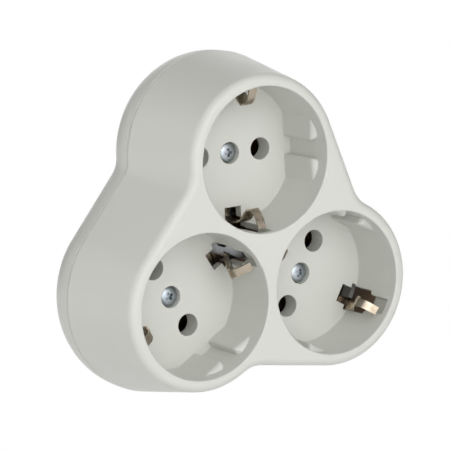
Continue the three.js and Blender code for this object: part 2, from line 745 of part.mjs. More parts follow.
function onTerminal(geometry, { place, angle }) {
  return geometry.clone().rotateZ(angle).translate(place.x, place.y, 0);
}

function supportRib() {
  const near = -PIN_HOLE_RADIUS - CLEARANCE;
  const half = PIN_HOLE_RADIUS;
  const foot = COVER_INSIDE + BACK_PLATE / 2;
  return block(-half, half, near - SUPPORT_RIB, near, BAR_BACK + CLEARANCE, foot);
}

function contactGeometry() {
  const middle = CONTACT_THICKNESS / 2;
  const spread = PIN_HOLE_RADIUS + CONTACT_SPREAD;
  const inner = [
    [PIN_HOLE_RADIUS + CONTACT_FLARE, CONTACT_FRONT],
    [PLUG_PIN_RADIUS - CONTACT_PINCH + middle, CONTACT_FRONT + CONTACT_LEAD],
    [spread - middle, CONTACT_BASE - CONTACT_THICKNESS],
    [spread - CONTACT_THICKNESS, CONTACT_BASE + middle],
  ];
  const leaf = inner.map(([x, depth]) => new THREE.Vector2(x, -depth));
  const otherLeaf = leaf.map((point) => new THREE.Vector2(-point.x, point.y)).reverse();
  const band = sheetShape([...leaf, ...otherLeaf], CONTACT_THICKNESS);
  const fork = lengthways(band, -CONTACT_WIDTH / 2, CONTACT_WIDTH / 2);
  const back = CONTACT_BASE + CONTACT_THICKNESS;
  const tabStart = CONTACT_WIDTH / 2 - CONTACT_THICKNESS;
  const tab = block(
    -RIVET_HEAD_RADIUS, RIVET_HEAD_RADIUS, tabStart, RIVET_REACH + RIVET_HEAD_RADIUS,
    CONTACT_BASE, back,
  );
  const [before, behind] = [CONTACT_BASE - CUT_SPARE, back + CUT_SPARE];
  const cutters = join([
    rod(0, 0, PIN_HOLE_RADIUS, before, behind, HOLE_FACETS),
    rod(0, RIVET_REACH, RIVET_HOLE_RADIUS, before, behind, RIVET_FACETS),
  ]);
  return geometryOf(solid(fork).add(solid(tab)).subtract(cutters));
}

function barPlate(shapes) {
  return shapes.map((shape) => plate(shape, BAR_DEPTH, BAR_BACK));
}

function barSolid(shapes, terminals, pinX) {
  const eyes = terminals.map(({ place }) => disc(place.x, place.y, PIN_HOLE_RADIUS + EYE_RIM));
  const pinEye = disc(pinX, 0, PIN_HEAD_RADIUS + PIN_EYE_RIM);
  const front = BAR_DEPTH - CUT_SPARE;
  const back = BAR_BACK + CUT_SPARE;
  const holes = terminals.flatMap((place) => [
    onTerminal(rod(0, 0, PIN_HOLE_RADIUS, front, back, HOLE_FACETS), place),
    onTerminal(rod(0, RIVET_REACH, RIVET_HOLE_RADIUS, front, back, RIVET_FACETS), place),
  ]);
  const neckHole = rod(pinX, 0, NECK_RADIUS + CLEARANCE, front, back, RIVET_FACETS);
  const plates = join(barPlate([...shapes, ...eyes, pinEye]));
  return geometryOf(plates.subtract(join([...holes, neckHole])));
}

// The neutral bar passes round the outside of the right-hand socket's pins
function loopShape(centre, from, to) {
  const outer = arcPoints(centre, BAR_LOOP_RADIUS + BAR_WIDTH / 2, from, to, LOBE_STEPS);
  const inner = arcPoints(centre, BAR_LOOP_RADIUS - BAR_WIDTH / 2, to, from, LOBE_STEPS);
  return new THREE.Shape([...outer, ...inner]);
}

// Assembly

const upright = new THREE.Group();
upright.rotation.x = Math.PI / 2;
upright.position.y = -PUCK_FACE;

const adapter = new THREE.Group();
adapter.add(upright);

function addPart(group, name, geometry, material) {
  const mesh = new THREE.Mesh(geometry, material);
  mesh.name = name;
  group.add(mesh);
  return mesh;
}

const [TOP, LEFT, RIGHT] = [0, 1, 2];
const SOCKET_NAMES = ["top", "left", "right"];
const pinX = PIN_SPACING / 2;
const livePin = new THREE.Vector2(-pinX, 0);
const neutralPin = new THREE.Vector2(pinX, 0);
const rightCentre = new THREE.Vector2(0, SOCKET_OFFSET);
rightCentre.rotateAround(new THREE.Vector2(), RIGHT * THIRD_TURN);
const loopPoints = arcPoints(rightCentre, BAR_LOOP_RADIUS, LOOP_START, LOOP_END, 1);

const liveTerminals = [
  terminal(TOP, -1, pinPlace(LEFT, 1)),
  terminal(LEFT, 1, pinPlace(TOP, -1)),
  terminal(RIGHT, 1, livePin),
];
const neutralTerminals = [
  terminal(TOP, 1, pinPlace(RIGHT, -1)),
  terminal(RIGHT, -1, pinPlace(TOP, 1)),
  terminal(LEFT, -1, loopPoints[1]),
];

// Middle of the straight run beside a plug pin, where the short tab to that pin leaves it
function tabEnd(from, to, pin) {
  const line = new THREE.Line3(
    new THREE.Vector3(from.x, from.y, 0),
    new THREE.Vector3(to.x, to.y, 0),
  );
  const foot = line.closestPointToPoint(new THREE.Vector3(pin.x, pin.y, 0), true, new THREE.Vector3());
  return new THREE.Vector2(foot.x, foot.y);
}

function liveBar() {
  const [top, left, right] = liveTerminals.map(({ place }) => place);
  return barSolid([
    strip(top, left, BAR_WIDTH),
    strip(livePin, tabEnd(top, left, livePin), BAR_WIDTH),
    strip(livePin, right, BAR_WIDTH),
  ], liveTerminals, livePin.x);
}

function neutralBar() {
  const [top, right, left] = neutralTerminals.map(({ place }) => place);
  return barSolid([
    strip(top, right, BAR_WIDTH),
    strip(neutralPin, tabEnd(top, right, neutralPin), BAR_WIDTH),
    strip(right, loopPoints[0], BAR_WIDTH),
    loopShape(rightCentre, LOOP_START, LOOP_END),
    strip(loopPoints[1], left, BAR_WIDTH),
  ], neutralTerminals, neutralPin.x);
}

addPart(upright, "front_housing", geometryOf(frontHousing()), housingPlastic);
addPart(
  upright, "rear_cover", geometryOf(rearCover([...liveTerminals, ...neutralTerminals])), housingPlastic,
);

SOCKET_NAMES.forEach((name, index) => {
  const place = new THREE.Group();
  place.rotation.z = index * THIRD_TURN;
  const socket = new THREE.Group();
  socket.position.y = SOCKET_OFFSET;
  place.add(socket);
  upright.add(place);
  addPart(socket, `assembly_screw_${name}`, screwGeometry(), zinc);
  const clip = addPart(socket, `earth_clip_${name}`, clipGeometry(), nickel);
  clip.rotation.z = CLIP_TURNS[index];
});

addPart(upright, "earth_star_plate", starPlateGeometry(), steel);
addPart(upright, "earth_strap", strapGeometry(), nickel);
const earthRivet = rivetGeometry(
  EARTH_RIVET_RADIUS, EARTH_RIVET_HEAD_RADIUS, RIVET_HEAD,
  STAR_DEPTH - CLEARANCE, STRAP_DEPTH + STRAP_THICKNESS + CLEARANCE,
);
addPart(upright, "earth_rivet", earthRivet, steel);

addPart(upright, "live_busbar", liveBar(), brass);
addPart(upright, "neutral_busbar", neutralBar(), brass);

const circuits = [["live", liveTerminals, livePin], ["neutral", neutralTerminals, neutralPin]];
for (const [circuit, terminals, pin] of circuits) {
  const plugPin = addPart(upright, `${circuit}_plug_pin`, plugPinGeometry(), nickel);
  plugPin.position.x = pin.x;
  for (const { socket, place, angle } of terminals) {
    const spot = new THREE.Group();
    spot.position.set(place.x, place.y, 0);
    spot.rotation.z = angle;
    upright.add(spot);
    const name = SOCKET_NAMES[socket];
    addPart(spot, `${circuit}_contact_${name}`, contactGeometry(), brass);
    const rivetForm = rivetGeometry(
      RIVET_RADIUS, RIVET_HEAD_RADIUS, RIVET_HEAD, CONTACT_BASE - CLEARANCE, BAR_BACK + CLEARANCE,
    );
    const rivet = addPart(spot, `${circuit}_rivet_${name}`, rivetForm, brass);
    rivet.position.y = RIVET_REACH;
  }
}

export default adapter;
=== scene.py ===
import math

import bpy
from mathutils import Matrix, Vector


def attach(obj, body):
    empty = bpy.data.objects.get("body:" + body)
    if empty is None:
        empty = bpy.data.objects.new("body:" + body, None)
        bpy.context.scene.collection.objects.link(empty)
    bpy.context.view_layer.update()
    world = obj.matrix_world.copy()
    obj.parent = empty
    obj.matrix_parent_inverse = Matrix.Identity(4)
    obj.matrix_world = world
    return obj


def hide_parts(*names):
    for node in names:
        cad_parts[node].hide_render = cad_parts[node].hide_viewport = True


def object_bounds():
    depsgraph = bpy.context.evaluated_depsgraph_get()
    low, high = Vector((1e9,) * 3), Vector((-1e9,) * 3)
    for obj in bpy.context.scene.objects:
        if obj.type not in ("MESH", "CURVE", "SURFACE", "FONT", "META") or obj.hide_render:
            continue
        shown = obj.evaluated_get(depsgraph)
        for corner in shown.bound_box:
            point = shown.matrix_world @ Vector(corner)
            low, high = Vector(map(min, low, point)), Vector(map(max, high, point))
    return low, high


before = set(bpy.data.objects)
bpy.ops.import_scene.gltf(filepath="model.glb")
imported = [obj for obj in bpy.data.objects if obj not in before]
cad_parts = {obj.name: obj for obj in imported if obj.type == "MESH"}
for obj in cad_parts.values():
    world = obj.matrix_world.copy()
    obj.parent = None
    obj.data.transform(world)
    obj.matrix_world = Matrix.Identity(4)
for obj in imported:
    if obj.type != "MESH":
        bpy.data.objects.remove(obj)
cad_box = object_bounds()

# The adapter's looks. Forms are drawn in millimetres as seen from the front: x to the right, y up
# and z = -depth behind the front face. TO_ROW stands them upright in the frame, in metres.

SOCKETS = ("top", "left", "right")
THIRD_TURN = 2 * math.pi / 3
SOCKET_WEB = 2.75
CLEARANCE = 0.3
CUT_SPARE = 1.0
BEND_STEPS = 6
ROUND_END_STEPS = 4
FLAT_TOLERANCE = 0.01
SMOOTH_ANGLE = 35.0
BEVEL_ANGLE = 40.0

LOBE_MARGIN = 7.4
FLANK_DROP = 7.25
CORNER_FILLET = 5.0
LOBE_STEPS = 56
CORNER_STEPS = 14
FLANK_STEPS = 10

SEAM_DEPTH = 25.6
WALL = 2.0
FRONT_PLATE = 2.4
DRAFT = math.radians(9.8)
FRONT_ROUND = 2.4
SEAM_CHAMFER = 0.3
ROUND_STEPS = 9

RECESS_RADIUS = 19.1
RECESS_DEPTH = 17.5
RECESS_LIP = 0.45
CUP_WALL = 1.6
FLOOR = 2.5
RECESS_FACETS = 144
FLOOR_ROUND = 0.35

PIN_SPACING = 19.0
PIN_HOLE_RADIUS = 2.95
PIN_HOLE_LIP = 0.15
SLEEVE_WALL = 1.4
SLEEVE_LENGTH = 2.7  # shorter than in the solids, to show the dark room behind the pin holes
HOLE_FACETS = 48
RIB_HEIGHT = 2.0
RIB_GAP = 4.8
RIB_TOP = 3.8
RIB_CORNER = 1.8
RIB_END = 10.0
RIB_EDGE = 0.45
NOSE_STEPS = 8
SLOT_LENGTH = 3.8
SLOT_SIDE_ROOM = 0.8
STEP_LENGTH = 0.8
STEP_SIDE_ROOM = 2.1
NOTCH_DEPTH = 2.0
NOTCH_LOW_ROOM = 1.7
NOTCH_LOW_TOP = 10.3
NOTCH_TOP_ROOM = 0.5
NOTCH_TOP = 2.3
NOTCH_WALL = 1.4

HEAD_RADIUS = 2.6
HEAD_SINK = 0.6
HEAD_HEIGHT = 2.1
DOME_SHARE = 0.45
DOME_STEPS = 8
DOME_TOP_RADIUS = 0.02
SHANK_RADIUS = 1.4
SHANK_TIP_RADIUS = 0.1
SCREW_LENGTH = 15.0
CROSS_WIDTH = 0.75
CROSS_LENGTH = 2.9
CROSS_FOOT_SHARE = 0.4
CROSS_FLARE = 1.15
CROSS_DEPTH = 1.1
SEAT_WALL = 1.7
SEAT_WEB = 1.5
SCREW_BOSS_WALL = 1.7
SCREW_BORE_SPARE = 1.0

CLIP_THICKNESS = 0.5
CLIP_WIDTH = 3.4
CLIP_PAD_RIM = 1.9
TONGUE_SHIFT = 0.4
TONGUE_WIDTH = 2.3
FOOT_GAP = 0.9
CREST_RISE = 5.2
CREST_DEPTH = 8.0
ARM_LEAN = 1.1
ARM_LEAN_DROP = 4.0
CREST_ENTRY = (0.9, 1.5)
CREST_EXIT = (0.7, 1.6)
TIP_GAP = 0.5
TIP_DEPTH = 4.2
TIP_SAG = 0.9
ARM_STEPS = 6
CLIP_TURNS = (0.01, -0.105, -0.105)
STAR_THICKNESS = 0.8

COVER_LAND = 1.9
COVER_INSET = 0.1
COVER_ROUND = 13.8
COVER_STEPS = 20
COVER_RISE = 11.7
BACK_PLATE = 2.0
RIM_HEIGHT = 1.8
RIM_WALL = 1.2

PUCK_RADIUS = 18.5
PUCK_HEIGHT = 17.5
PUCK_WALL = 2.2
PUCK_FLAT_CUT = 1.7
PUCK_RIB = 4.0
PUCK_FACETS = 128
PUCK_LIP = 0.6
PLUG_PIN_RADIUS = 2.4
PLUG_PIN_LENGTH = 19.0
PLUG_PIN_NOSE = 1.44
PLUG_PIN_STEPS = 8
PLUG_PIN_TIP_RADIUS = 0.05
PIN_BOSS_WALL = 1.7
STRAP_THICKNESS = 1.0
STRAP_WIDTH = 5.0
STRAP_INSET = 0.3
STRAP_END_GAP = 2.5
BAR_ROOM = 3.1

SOCKET_OFFSET = (RECESS_RADIUS + SOCKET_WEB / 2) / math.sin(THIRD_TURN / 2)
LOBE_RADIUS = RECESS_RADIUS + LOBE_MARGIN
RIB_FACE = RECESS_RADIUS - RIB_HEIGHT
FLOOR_BACK = RECESS_DEPTH + FLOOR
ARM_FOOT = RECESS_RADIUS - FOOT_GAP
CREST_REACH = RECESS_RADIUS - CREST_RISE
TIP_REACH = RECESS_RADIUS - TIP_GAP
COVER_FRONT = SEAM_DEPTH + CLEARANCE
BACK_DEPTH = COVER_FRONT + COVER_LAND + COVER_RISE
COVER_INSIDE = BACK_DEPTH - BACK_PLATE
HEAD_TOP = RECESS_DEPTH + HEAD_SINK
SEAT_DEPTH = HEAD_TOP + HEAD_HEIGHT + CLEARANCE
SEAT_BACK = SEAT_DEPTH + SEAT_WEB
CLIP_DEPTH = SEAT_BACK + CLEARANCE
BOSS_FRONT = CLIP_DEPTH + CLIP_THICKNESS + STAR_THICKNESS + 2 * CLEARANCE
PUCK_FACE = BACK_DEPTH + PUCK_HEIGHT
STRAP_REACH = PUCK_RADIUS - STRAP_INSET
BAR_BACK = COVER_INSIDE - BAR_ROOM
SHANK_HOLE_RADIUS = SHANK_RADIUS + CLEARANCE

TO_METRES = 0.001
TO_ROW = (
    Matrix.Translation((0, -PUCK_FACE * TO_METRES, 0))
    @ Matrix.Rotation(math.pi / 2, 4, "X")
    @ Matrix.Scale(TO_METRES, 4)
)


# Materials

def shader(name, color, roughness, metallic=0.0):
    material = bpy.data.materials.new(name)
    material.use_nodes = True
    bsdf = material.node_tree.nodes["Principled BSDF"]
    bsdf.inputs["Base Color"].default_value = (*color, 1)
    bsdf.inputs["Roughness"].default_value = roughness
    bsdf.inputs["Metallic"].default_value = metallic
    return material, material.node_tree.nodes, material.node_tree.links, bsdf


NOISE_LOW = 0.3
NOISE_HIGH = 0.7


def noise(nodes, links, scale, detail=3.0):
    position = nodes.new("ShaderNodeTexCoord")
    texture = nodes.new("ShaderNodeTexNoise")
    texture.inputs["Scale"].default_value = scale
    texture.inputs["Detail"].default_value = detail
    links.new(position.outputs["Object"], texture.inputs["Vector"])
    return texture.outputs["Fac"]


def spread(nodes, links, value, low, high):
    """Stretches the middle of a noise over a range of values."""
    scaled = nodes.new("ShaderNodeMapRange")
    scaled.inputs["From Min"].default_value = NOISE_LOW
    scaled.inputs["From Max"].default_value = NOISE_HIGH
    scaled.inputs["To Min"].default_value = low
    scaled.inputs["To Max"].default_value = high
    links.new(value, scaled.inputs["Value"])
    return scaled.outputs["Result"]


def color_between(nodes, links, value, first, second):
    mix = nodes.new("ShaderNodeMix")
    mix.data_type = "RGBA"
    mix.inputs[6].default_value = (*first, 1)
    mix.inputs[7].default_value = (*second, 1)
    links.new(value, mix.inputs[0])
    return mix.outputs[2]


def surface(nodes, links, bsdf, grain, strength, distance, edge):
    """Fine bump on top of softly rounded edges."""
    bevel = nodes.new("ShaderNodeBevel")
    bevel.samples = 4
    bevel.inputs["Radius"].default_value = edge
    bump = nodes.new("ShaderNodeBump")
    bump.inputs["Strength"].default_value = strength
    bump.inputs["Distance"].default_value = distance
    links.new(grain, bump.inputs["Height"])
    links.new(bevel.outputs["Normal"], bump.inputs["Normal"])
    links.new(bump.outputs["Normal"], bsdf.inputs["Normal"])


def moulded_plastic(name, first, second):
    material, nodes, links, bsdf = shader(name, first, 0.4)
    tone = spread(nodes, links, noise(nodes, links, 60.0), 0.0, 1.0)
    links.new(color_between(nodes, links, tone, first, second), bsdf.inputs["Base Color"])
    gloss = spread(nodes, links, noise(nodes, links, 180.0), 0.36, 0.44)
    links.new(gloss, bsdf.inputs["Roughness"])
    grain = noise(nodes, links, 2600.0, 2.0)
    surface(nodes, links, bsdf, grain, strength=0.12, distance=0.00004, edge=0.00025)
    return material


def metal(name, color, dark, roughness, grain_scale, bump=0.25):
    material, nodes, links, bsdf = shader(name, color, roughness[0], 1.0)
    tone = spread(nodes, links, noise(nodes, links, grain_scale * 0.3), 0.0, 1.0)
    links.new(color_between(nodes, links, tone, dark, color), bsdf.inputs["Base Color"])
    polish = spread(nodes, links, noise(nodes, links, grain_scale), *roughness)
    links.new(polish, bsdf.inputs["Roughness"])
    grain = noise(nodes, links, grain_scale * 2.5, 4.0)
    surface(nodes, links, bsdf, grain, bump, distance=0.00005, edge=0.00008)
    return material


plastic = moulded_plastic("housing_plastic", (0.652, 0.66, 0.612), (0.668, 0.672, 0.63))
# Dark brown painted shade for the hidden faces inside the housing and at the seam, where the plastic
# lies in shade
painted_shade_plastic = moulded_plastic("housing_plastic_painted_shade", (0.3, 0.205, 0.15), (0.36, 0.255, 0.19))
nickel = metal("nickel_plate", (0.5, 0.44, 0.36), (0.34, 0.28, 0.21), (0.22, 0.34), 900.0)
zinc = metal("zinc_plate", (0.5, 0.54, 0.57), (0.34, 0.38, 0.41), (0.32, 0.46), 1400.0, 0.35)
brass = metal("stamped_brass", (0.6, 0.42, 0.17), (0.45, 0.29, 0.1), (0.25, 0.4), 800.0)
steel = metal("plated_steel", (0.42, 0.44, 0.45), (0.32, 0.33, 0.34), (0.3, 0.45), 800.0)


# Small tools for closed forms

def new_form(vertices, faces):
    mesh = bpy.data.meshes.new("form")
    mesh.from_pydata([tuple(v) for v in vertices], [], faces)
    mesh.validate()
    mesh.materials.append(plastic)
    # The second slot is the dark painted shade for hidden inner faces
    mesh.materials.append(painted_shade_plastic)
    form = bpy.data.objects.new("form", mesh)
    bpy.context.scene.collection.objects.link(form)
    return form


def outward(form):
    """Turns the faces of a closed form outwards."""
    mesh = form.data
    volume = 0.0
    for face in mesh.polygons:
        first = mesh.vertices[face.vertices[0]].co
        for a, b in zip(face.vertices[1:], face.vertices[2:]):
            volume += first.dot(mesh.vertices[a].co.cross(mesh.vertices[b].co))
    if volume < 0:
        mesh.flip_normals()
    return form


def skin(rings):
    """A closed form through rings with equal counts of points."""
    count = len(rings[0])
    vertices = [point for ring in rings for point in ring]
    faces = []
    for level in range(len(rings) - 1):
        for i in range(count):
            here = level * count + i
            after = level * count + (i + 1) % count
            faces.append((here, after, after + count, here + count))
    faces.append(tuple(reversed(range(count))))
    last = (len(rings) - 1) * count
    faces.append(tuple(range(last, last + count)))
    return outward(new_form(vertices, faces))


def turned(profile, facets, x=0.0, y=0.0):
    """A solid of revolution about the line through (x, y); the profile holds (radius, depth)."""
    rings = []
    for radius, depth in profile:
        ring = []
        for i in range(facets):
            angle = 2 * math.pi * i / facets
            ring.append(Vector((x + radius * math.cos(angle), y + radius * math.sin(angle), -depth)))
        rings.append(ring)
    return skin(rings)


def rod(x, y, radius, front, back, facets=HOLE_FACETS):
    return turned([(radius, back), (radius, front)], facets, x, y)


def block(x0, x1, y0, y1, front, back):
    low = [(x0, y0), (x1, y0), (x1, y1), (x0, y1)]
    return skin([[Vector((x, y, -depth)) for x, y in low] for depth in (back, front)])


def pulled_along_x(shape, x0, x1):
    return skin([[Vector((x, y, z)) for y, z in shape] for x in (x0, x1)])


def pulled_along_y(shape, y0, y1):
    return skin([[Vector((x, y, z)) for x, z in shape] for y in (y0, y1)])


def moved(form, matrix):
    form.data.transform(matrix)
    if matrix.determinant() < 0:
        form.data.flip_normals()
    return form


def copy_of(form):
    copy = form.copy()
    copy.data = form.data.copy()
    bpy.context.scene.collection.objects.link(copy)
    return copy


def inside(form):
    """Gives all faces the dark brown painted shade that stands in for the shade inside a moulding."""
    form.data.polygons.foreach_set("material_index", [1] * len(form.data.polygons))
    return form


def painted_shade_at(form, depth):
    """Gives the flat faces that lie at a depth the dark painted shade of the gap between the
    mouldings.
    """
    for face in form.data.polygons:
        if abs(face.center.z + depth) < FLAT_TOLERANCE:
            face.material_index = 1
    return form


def bevelled(form, width, segments=3):
    """Rounds the sharp edges of a form."""
    modifier = form.modifiers.new("round", "BEVEL")
    modifier.width = width
    modifier.segments = segments
    modifier.limit_method = "ANGLE"
    modifier.angle_limit = math.radians(BEVEL_ANGLE)
    return settle(form)


def discard(form):
    mesh = form.data
    bpy.data.objects.remove(form)
    bpy.data.meshes.remove(mesh)


def settle(form):
    """Applies a form's modifiers to its mesh."""
    graph = bpy.context.evaluated_depsgraph_get()
    graph.update()
    mesh = bpy.data.meshes.new_from_object(form.evaluated_get(graph), depsgraph=graph)
    old = form.data
    form.modifiers.clear()
    form.data = mesh
    bpy.data.meshes.remove(old)
    return form


def combine(base, other, operation):
    modifier = base.modifiers.new("combine", "BOOLEAN")
    modifier.operation = operation
    modifier.solver = "MANIFOLD"
    modifier.object = other
    settle(base)
    discard(other)
    return base


def add(base, other):
    return combine(base, other, "UNION")


def cut(base, other):
    return combine(base, other, "DIFFERENCE")


def common(base, other):
    return combine(base, other, "INTERSECT")


def joined(forms):
    base = forms[0]
    for form in forms[1:]:
        add(base, form)
    return base


def on_socket(form, index):
    """Moves a form drawn about the origin to one of the three sockets."""
    turn = Matrix.Rotation(index * THIRD_TURN, 4, "Z") @ Matrix.Translation((0, SOCKET_OFFSET, 0))
    return moved(form, turn)


def on_every_socket(form):
    copies = [on_socket(copy_of(form), index) for index in range(len(SOCKETS))]
    discard(form)
    return joined(copies)


# Outline of the housing

def arc(centre, radius, start, end, steps):
    points = []
    for i in range(steps + 1):
        angle = start + (end - start) * i / steps
        points.append(centre + radius * Vector((math.cos(angle), math.sin(angle))))
    return points


def turned_point(point, angle):
    return Matrix.Rotation(angle, 2) @ point


def outline(inset, depth):
    """The pinwheel outline of three lobes, drawn in from the full outline by an inset."""
    lobe = Vector((0, SOCKET_OFFSET))
    pitch = 2 * SOCKET_OFFSET * math.sin(THIRD_TURN / 2)
    tilt = math.asin(FLANK_DROP / pitch)
    reach = LOBE_RADIUS + CORNER_FILLET
    swing = math.acos((reach - FLANK_DROP) / reach)
    start = math.pi / 2 - THIRD_TURN / 2 - tilt
    flank_normal = math.pi / 2 + THIRD_TURN / 2 - tilt
    end = flank_normal + swing
    corner = lobe + reach * Vector((math.cos(end), math.sin(end)))
    hollow = arc(corner, CORNER_FILLET + inset, end + math.pi, flank_normal + math.pi, CORNER_STEPS)
    third = arc(lobe, LOBE_RADIUS - inset, start, end, LOBE_STEPS) + hollow[1:]
    flank_end = turned_point(third[0], THIRD_TURN)
    flank = [third[-1].lerp(flank_end, i / FLANK_STEPS) for i in range(1, FLANK_STEPS)]
    points = []
    for index in range(len(SOCKETS)):
        for point in third + flank:
            x, y = turned_point(point, index * THIRD_TURN)
            points.append(Vector((x, y, -depth)))
    return points


def loft(levels):
    return skin([outline(inset, depth) for inset, depth in levels])


def wall_inset(depth):
    return (SEAM_DEPTH - depth) * math.tan(DRAFT)


# Front housing

def housing_form():
    centre_inset = wall_inset(FRONT_ROUND) + FRONT_ROUND / math.cos(DRAFT)
    chamfer_end = SEAM_DEPTH - SEAM_CHAMFER
    levels = [(SEAM_CHAMFER, SEAM_DEPTH), (wall_inset(chamfer_end), chamfer_end)]
    for i in range(ROUND_STEPS + 1):
        angle = DRAFT + (math.pi / 2 - DRAFT) * i / ROUND_STEPS
        levels.append((
            centre_inset - FRONT_ROUND * math.cos(angle),
            FRONT_ROUND - FRONT_ROUND * math.sin(angle),
        ))
    return loft(levels)


def quarter(radius, depth, size, steps=ROUND_END_STEPS):
    """A convex lip of a hole: points of (radius, depth) from the flat face down into the hole."""
    points = []
    for i in range(steps + 1):
        angle = math.pi / 2 * i / steps
        points.append((radius + size * (1 - math.sin(angle)), depth + size * (1 - math.cos(angle))))
    return points


def round_end(radius, depth, width, height, steps=ROUND_END_STEPS):
    """The rounded edge at the far end of a cylinder: points of (radius, depth)."""
    points = []
    for i in range(steps + 1):
        angle = math.pi / 2 * i / steps
        points.append((radius - width * (1 - math.cos(angle)), depth - height * (1 - math.sin(angle))))
    return points


def recess_cutter():
    lip = quarter(RECESS_RADIUS, 0, RECESS_LIP)
    foot = round_end(RECESS_RADIUS, RECESS_DEPTH, FLOOR_ROUND, FLOOR_ROUND)
    return turned([(RECESS_RADIUS + RECESS_LIP, -CUT_SPARE)] + lip + foot, RECESS_FACETS)


def guide_rib(side, end):
    """One of the four ribs beside a recess; side and end say which way it is mirrored."""
    back = RECESS_DEPTH + RECESS_LIP
    outside = RECESS_RADIUS + CUP_WALL / 2
    shoulder = RIB_TOP + RIB_CORNER

    def nose(corner):
        points = []
        for i in range(NOSE_STEPS + 1):
            angle = math.pi / 2 + math.pi / 2 * i / NOSE_STEPS
            points.append((
                corner + RIB_CORNER + RIB_CORNER * math.cos(angle),
                -shoulder + RIB_CORNER * math.sin(angle),
            ))
        return points

    section = [(RIB_FACE, -back), (outside, -back), (outside, -RIB_TOP)] + nose(RIB_FACE)
    rib = pulled_along_y(section, 0, RECESS_RADIUS)
    start = RIB_GAP / 2
    face = [(start, -back), (RIB_END, -back), (RIB_END, -RIB_TOP)] + nose(start)
    common(rib, pulled_along_x(face, 0, outside))
    bevelled(rib, RIB_EDGE)
    common(rib, rod(0, 0, outside, 0, back, RECESS_FACETS))
    return moved(rib, Matrix.Diagonal((side, end, 1, 1)))


def slot_cutter():
    """The slot for one spring arm, with the window and the groove in the recess wall behind it."""
    reach = RECESS_RADIUS + NOTCH_DEPTH
    through = FLOOR_BACK + CUT_SPARE
    above = RECESS_DEPTH - CLEARANCE
    narrow = CLIP_WIDTH / 2 + SLOT_SIDE_ROOM
    wide = CLIP_WIDTH / 2 + STEP_SIDE_ROOM
    low = CLIP_WIDTH / 2 + NOTCH_LOW_ROOM
    high = CLIP_WIDTH / 2 + NOTCH_TOP_ROOM
    step = ARM_FOOT - STEP_LENGTH
    bend = low - high
    shoulder = []
    for i in range(BEND_STEPS + 1):
        angle = math.pi / 2 * i / BEND_STEPS
        shoulder.append((low - bend * math.sin(angle), -NOTCH_LOW_TOP + bend * (1 - math.cos(angle))))
    window = [(-low, -RECESS_DEPTH - CLEARANCE), (low, -RECESS_DEPTH - CLEARANCE)] + shoulder
    window += [(-x, z) for x, z in reversed(shoulder)]
    form = joined([
        block(-narrow, narrow, ARM_FOOT - SLOT_LENGTH, step + CLEARANCE, above, through),
        block(-wide, wide, step, reach, RECESS_DEPTH, through),
        pulled_along_y(window, step, reach),
        block(-high, high, step, reach - CLEARANCE, NOTCH_TOP, NOTCH_LOW_TOP + CLEARANCE),
    ])
    other = moved(copy_of(form), Matrix.Rotation(math.pi, 4, "Z"))
    return add(form, other)


def hole_cutter(x, radius, front, back, lip):
    profile = [(radius + lip, front - CUT_SPARE)] + quarter(radius, front, lip, 3) + [(radius, back)]
    return turned(profile, HOLE_FACETS, x)


def front_housing():
    """The trefoil shell with its recess cups, holes, slots and ribs."""
    pin_x = PIN_SPACING / 2
    sleeve = PIN_HOLE_RADIUS + SLEEVE_WALL
    sleeve_back = FLOOR_BACK + SLEEVE_LENGTH
    notch_half = CLIP_WIDTH / 2 + NOTCH_TOP_ROOM + NOTCH_WALL
    notch_back = RECESS_RADIUS + NOTCH_DEPTH + NOTCH_WALL
    fillings = on_every_socket(joined([
        rod(0, 0, RECESS_RADIUS + CUP_WALL, 0, FLOOR_BACK, RECESS_FACETS),
        rod(-pin_x, 0, sleeve, RECESS_DEPTH, sleeve_back),
        rod(pin_x, 0, sleeve, RECESS_DEPTH, sleeve_back),
        rod(0, 0, HEAD_RADIUS + CLEARANCE + SEAT_WALL, RECESS_DEPTH, SEAT_BACK),
        block(-notch_half, notch_half, -notch_back, notch_back, 0, NOTCH_LOW_TOP),
    ]))
    # Painted shade on the hidden faces of the cups, sleeves, seats and notch walls
    inside(fillings)
    shell = housing_form()
    common(fillings, copy_of(shell))
    below = SEAM_DEPTH + WALL
    # The cavity's faces carry the painted shade into the shell
    cavity = inside(loft([
        (wall_inset(below) + WALL, below),
        (wall_inset(FRONT_PLATE) + WALL, FRONT_PLATE),
    ]))
    add(cut(shell, cavity), fillings)
    cut(shell, on_every_socket(recess_cutter()))
    hole_back = sleeve_back + CUT_SPARE
    for form in (
        hole_cutter(-pin_x, PIN_HOLE_RADIUS, RECESS_DEPTH, hole_back, PIN_HOLE_LIP),
        hole_cutter(pin_x, PIN_HOLE_RADIUS, RECESS_DEPTH, hole_back, PIN_HOLE_LIP),
        hole_cutter(0, HEAD_RADIUS + CLEARANCE, RECESS_DEPTH, SEAT_DEPTH, PIN_HOLE_LIP),
        rod(0, 0, SHANK_HOLE_RADIUS, SEAT_DEPTH - CUT_SPARE, SEAT_BACK + CUT_SPARE),
        slot_cutter(),
    ):
        cut(shell, on_every_socket(form))
    for side, end in ((1, 1), (1, -1), (-1, 1), (-1, -1)):
        add(shell, on_every_socket(guide_rib(side, end)))
    # Painted shade on the flat faces at the seam
    return painted_shade_at(shell, SEAM_DEPTH)


# Rear cover

def cover_levels(skin_depth, front, back, chamfer=0.0):
    """Levels of the cover's rounded side, or of a wall that lies inside it by skin_depth."""
    centre_inset = COVER_INSET + COVER_ROUND
    centre_depth = COVER_FRONT + COVER_LAND
    radius = COVER_ROUND - skin_depth
    sweep = math.asin((back - centre_depth) / radius)
    levels = [(centre_inset - radius + chamfer, front)]
    if chamfer:
        levels.append((centre_inset - radius, front + chamfer))
    for i in range(COVER_STEPS + 1):
        angle = sweep * i / COVER_STEPS
        levels.append((
            centre_inset - radius * math.cos(angle),
            centre_depth + radius * math.sin(angle),
        ))
    return levels


def ring_between(outer_inset, inner_inset, front, back):
    outer = loft([(outer_inset, back), (outer_inset, front)])
    return cut(outer, loft([(inner_inset, back + CUT_SPARE), (inner_inset, front - CUT_SPARE)]))


